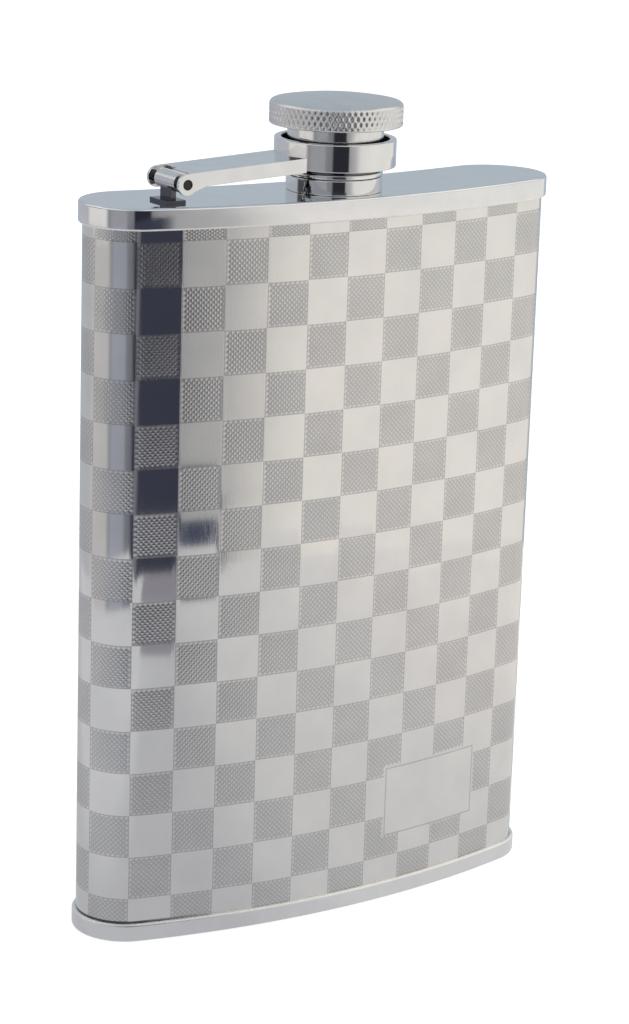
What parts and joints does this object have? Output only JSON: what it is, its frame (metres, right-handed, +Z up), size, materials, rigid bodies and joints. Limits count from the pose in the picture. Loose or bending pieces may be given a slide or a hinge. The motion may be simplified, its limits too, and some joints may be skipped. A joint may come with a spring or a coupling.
{
  "type": "hip flask",
  "caption": "Curved pocket flask of rolled steel sheet with pressed top and base, a threaded spout, and a knurled screw cap held captive by a ring on a hinged arm.",
  "frame": {"origin": "on the underside of the base, under the axis of the neck", "axes": "+X along the width away from the hinge, +Y from the convex front to the hollow back, +Z up along the neck"},
  "size_m": [0.0902, 0.024, 0.1416],
  "materials": {
    "engraved_sleeve": "satin stainless steel sheet with an engraved chequer of plain and cross-hatched squares",
    "polished_top": "polished stainless steel",
    "polished_base": "polished stainless steel",
    "turned_spout": "turned stainless steel",
    "polished_collar": "polished stainless steel",
    "polished_bracket": "polished stainless steel strip",
    "plain_pin": "plain drawn steel wire, a little darkened",
    "polished_arm": "polished stainless steel strip",
    "polished_ring": "polished stainless steel",
    "knurled_head": "turned stainless steel, satin on top and diamond knurled round the side",
    "turned_insert": "turned stainless steel with a polished skirt",
    "polished_lip": "polished stainless steel",
    "gasket": "translucent white silicone"
  },
  "bodies": {
    "flask": {"body_sleeve": "engraved_sleeve", "top_plate": "polished_top", "base_plate": "polished_base", "neck_spout": "turned_spout", "neck_collar": "polished_collar", "hinge_bracket": "polished_bracket"},
    "arm": {"cap_arm": "polished_arm", "captive_ring": "polished_ring", "hinge_pin": "plain_pin"},
    "cap": {"cap_head": "knurled_head", "cap_insert": "turned_insert", "retaining_lip": "polished_lip", "cap_gasket": "gasket"}
  },
  "joints": [
    {"name": "arm_swing", "type": "hinge", "parent": "flask", "child": "arm", "pos_m": [-0.03135, 0, 0.12905], "axis": [0, -1, 0], "range_deg": [0, 180]},
    {"name": "cap_turn", "type": "hinge", "parent": "arm", "child": "cap", "pos_m": [0, 0, 0.13], "axis": [0, 0, 1], "continuous": true}
  ]
}
